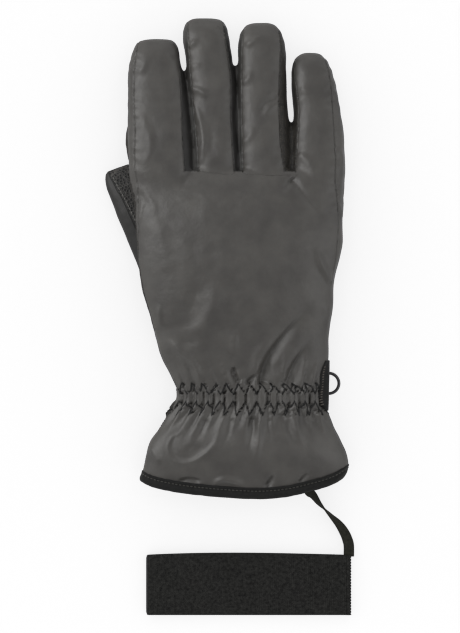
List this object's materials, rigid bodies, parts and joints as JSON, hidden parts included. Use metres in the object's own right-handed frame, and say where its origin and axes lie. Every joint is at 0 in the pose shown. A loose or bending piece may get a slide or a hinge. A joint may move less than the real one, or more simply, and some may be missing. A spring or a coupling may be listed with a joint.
{
  "type": "ski glove",
  "caption": "Padded winter glove with a flared cuff, a gathered wrist, a small hang ring and a wrist leash that ends in a wide elastic band.",
  "frame": {"origin": "the point of the palm's resting face under the middle of the grip patch's hand-heel side, on the surface the glove lies on", "axes": "+Y towards the fingertips, +X towards the little finger, +Z out of the back of the hand"},
  "size_m": [0.1427, 0.3486, 0.035],
  "materials": {
    "back_fabric": "coated nylon, soft sheen",
    "palm_synthetic": "synthetic leather, fine grain",
    "grip_patch": "embossed grip",
    "thumb_grip": "embossed grip",
    "side_fabric": "smooth woven nylon",
    "insulation": "matte",
    "fleece": "brushed",
    "binding": "woven tape",
    "elastic": "matte",
    "webbing": "woven webbing",
    "ribbon": "grosgrain",
    "band_elastic": "ribbed woven elastic",
    "ring_metal": "dark plated"
  },
  "bodies": {
    "hand": {"hand_back_shell": "back_fabric", "hand_palm_panel": "palm_synthetic", "palm_grip_patch": "grip_patch", "hand_wadding": "insulation", "hand_lining": "fleece", "wrist_elastic_upper": "elastic", "side_webbing": "webbing", "ring_loop": "webbing"},
    "index_finger": {"index_back_panel": "back_fabric", "index_palm_panel": "palm_synthetic", "index_outer_side": "side_fabric", "index_inner_side": "side_fabric", "index_wadding": "insulation", "index_lining": "fleece"},
    "middle_finger": {"middle_back_panel": "back_fabric", "middle_palm_panel": "palm_synthetic", "middle_outer_side": "side_fabric", "middle_inner_side": "side_fabric", "middle_wadding": "insulation", "middle_lining": "fleece"},
    "ring_finger": {"ring_finger_back_panel": "back_fabric", "ring_finger_palm_panel": "palm_synthetic", "ring_finger_outer_side": "side_fabric", "ring_finger_inner_side": "side_fabric", "ring_finger_wadding": "insulation", "ring_finger_lining": "fleece"},
    "little_finger": {"little_back_panel": "back_fabric", "little_palm_panel": "palm_synthetic", "little_outer_side": "side_fabric", "little_inner_side": "side_fabric", "little_wadding": "insulation", "little_lining": "fleece"},
    "thumb": {"thumb_back_panel": "side_fabric", "thumb_grip_panel": "thumb_grip", "thumb_wadding": "insulation", "thumb_lining": "fleece"},
    "cuff": {"cuff_back_shell": "back_fabric", "cuff_palm_shell": "side_fabric", "cuff_wadding": "insulation", "cuff_lining": "fleece", "cuff_binding": "binding", "wrist_elastic_lower": "elastic", "leash_anchor": "ribbon", "leash_ribbon": "ribbon", "leash_band": "band_elastic", "leash_band_seam": "binding"},
    "hang_ring": {"hang_ring": "ring_metal"}
  },
  "joints": [
    {"name": "index_flex", "type": "hinge", "parent": "hand", "child": "index_finger", "pos_m": [-0.0395, 0.062, 0.0195], "axis": [-0.9995, -0.0332, 0], "range_deg": [-15, 60]},
    {"name": "middle_flex", "type": "hinge", "parent": "hand", "child": "middle_finger", "pos_m": [-0.0085, 0.062, 0.0142], "axis": [-0.999, -0.0454, 0], "range_deg": [-15, 60]},
    {"name": "ring_finger_flex", "type": "hinge", "parent": "hand", "child": "ring_finger", "pos_m": [0.0215, 0.062, 0.0142], "axis": [-0.9995, -0.0332, 0], "range_deg": [-15, 60]},
    {"name": "little_flex", "type": "hinge", "parent": "hand", "child": "little_finger", "pos_m": [0.0526, 0.057, 0.0137], "axis": [-0.9977, -0.068, 0], "range_deg": [-15, 60]},
    {"name": "thumb_swing", "type": "hinge", "parent": "hand", "child": "thumb", "pos_m": [-0.0295, -0.022, 0.0073], "axis": [0, 0, 1], "range_deg": [0, 40]},
    {"name": "wrist_flex", "type": "hinge", "parent": "hand", "child": "cuff", "pos_m": [0.014, -0.079, 0.0162], "axis": [-1, 0, 0], "range_deg": [-30, 30]},
    {"name": "ring_swing", "type": "hinge", "parent": "hand", "child": "hang_ring", "pos_m": [0.0543, -0.0737, 0.002], "axis": [0, -1, 0], "range_deg": [0, 50]}
  ]
}
